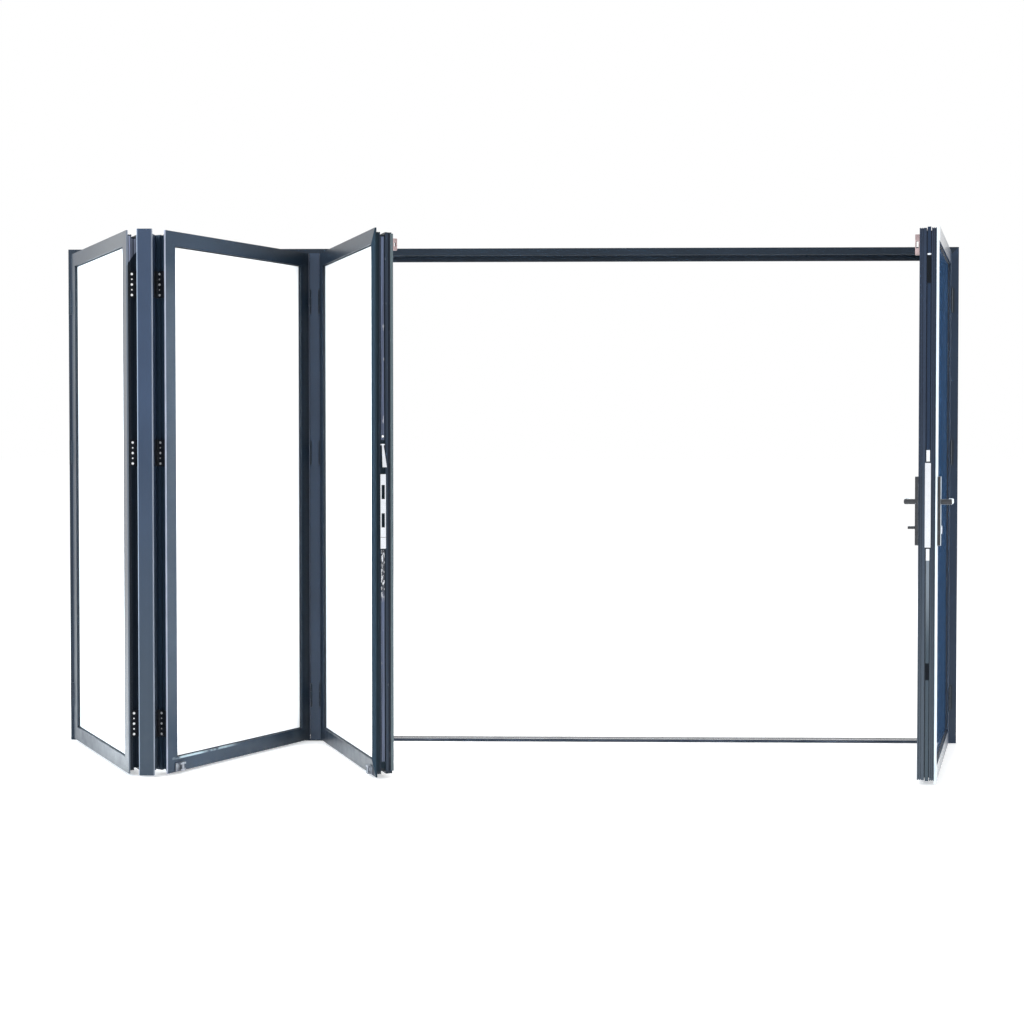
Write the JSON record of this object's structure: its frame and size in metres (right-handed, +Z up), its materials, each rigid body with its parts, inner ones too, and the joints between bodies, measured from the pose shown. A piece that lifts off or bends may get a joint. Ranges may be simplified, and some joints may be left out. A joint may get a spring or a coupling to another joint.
{
  "type": "bifold door set",
  "caption": "Aluminium bifold door in its outer frame: glazed leaves folded outwards on hinged mullions, and a swinging access leaf with lever handles.",
  "frame": {"origin": "middle of the frame's width and depth, on the underside of the sill", "axes": "+X along the opening to the access leaf's hinge side, +Y into the building, +Z up"},
  "size_m": [3.6, 0.9475, 2],
  "materials": {
    "grey_coat": "satin anthracite powder coat",
    "bead_coat": "satin anthracite powder coat",
    "sill_coat": "satin anthracite powder coat under clear film",
    "glass": "clear float glass",
    "black_metal": "satin black",
    "silver_metal": "brushed",
    "steel": "zinc plated",
    "buffer": "matt",
    "black_plastic": "matt"
  },
  "bodies": {
    "frame_and_folding_leaves": {"floor_guide": "black_plastic", "fold_bolt_rods": "steel", "head": "grey_coat", "inner_mullion": "grey_coat", "inner_mullion_hinges": "grey_coat", "leaf_1_beads": "bead_coat", "leaf_1_bottom_rail": "grey_coat", "leaf_1_glass": "glass", "leaf_1_left_stile": "grey_coat", "leaf_1_right_stile": "grey_coat", "leaf_1_top_rail": "grey_coat", "leaf_2_beads": "bead_coat", "leaf_2_bottom_rail": "grey_coat", "leaf_2_glass": "glass", "leaf_2_left_stile": "grey_coat", "leaf_2_right_stile": "grey_coat", "leaf_2_top_rail": "grey_coat", "leaf_3_beads": "bead_coat", "leaf_3_bottom_rail": "grey_coat", "leaf_3_buffer": "buffer", "leaf_3_glass": "glass", "leaf_3_left_stile": "grey_coat", "leaf_3_right_stile": "grey_coat", "leaf_3_top_rail": "grey_coat", "left_jamb": "grey_coat", "left_jamb_hinges": "grey_coat", "outer_mullion": "grey_coat", "outer_mullion_hinges": "black_metal", "right_jamb": "grey_coat", "right_jamb_hinges": "grey_coat", "roller_carriage": "steel", "sill": "sill_coat", "stack_catches": "silver_metal", "strike_plate": "silver_metal"},
    "access_leaf": {"leaf_4_beads": "bead_coat", "leaf_4_bottom_rail": "grey_coat", "leaf_4_buffer": "buffer", "leaf_4_glass": "glass", "leaf_4_left_stile": "grey_coat", "leaf_4_right_stile": "grey_coat", "leaf_4_top_rail": "grey_coat", "access_leaf_hinges": "grey_coat", "lock_faceplate": "silver_metal", "shoot_bolts": "steel", "handle_plates": "black_metal", "key_cylinder": "silver_metal"},
    "levers": {"outer_lever": "black_metal", "inner_lever": "black_metal"},
    "thumb_turn": {"thumb_turn": "black_metal"},
    "bolt_finger": {"bolt_finger": "silver_metal"}
  },
  "joints": [
    {"name": "access_leaf_swing", "type": "hinge", "parent": "frame_and_folding_leaves", "child": "access_leaf", "pos_m": [1.7685, -0.044, 0.187], "axis": [0, 0, 1], "range_deg": [-74, 96]},
    {"name": "lever_turn", "type": "hinge", "parent": "access_leaf", "child": "levers", "pos_m": [1.49518, -0.87745, 1.0025], "axis": [-0.9613, 0.2756, 0], "range_deg": [-40, 40], "stiffness_Nm_per_rad": 1.5},
    {"name": "thumb_turn", "type": "hinge", "parent": "access_leaf", "child": "thumb_turn", "pos_m": [1.45, -0.8645, 0.9105], "axis": [-0.9613, 0.2756, 0], "range_deg": [-90, 90]},
    {"name": "bolt_finger_flip", "type": "hinge", "parent": "frame_and_folding_leaves", "child": "bolt_finger", "pos_m": [-0.4415, -0.81025, 1.2045], "axis": [0.9317, 0.3633, 0], "range_deg": [-60, 18]}
  ]
}
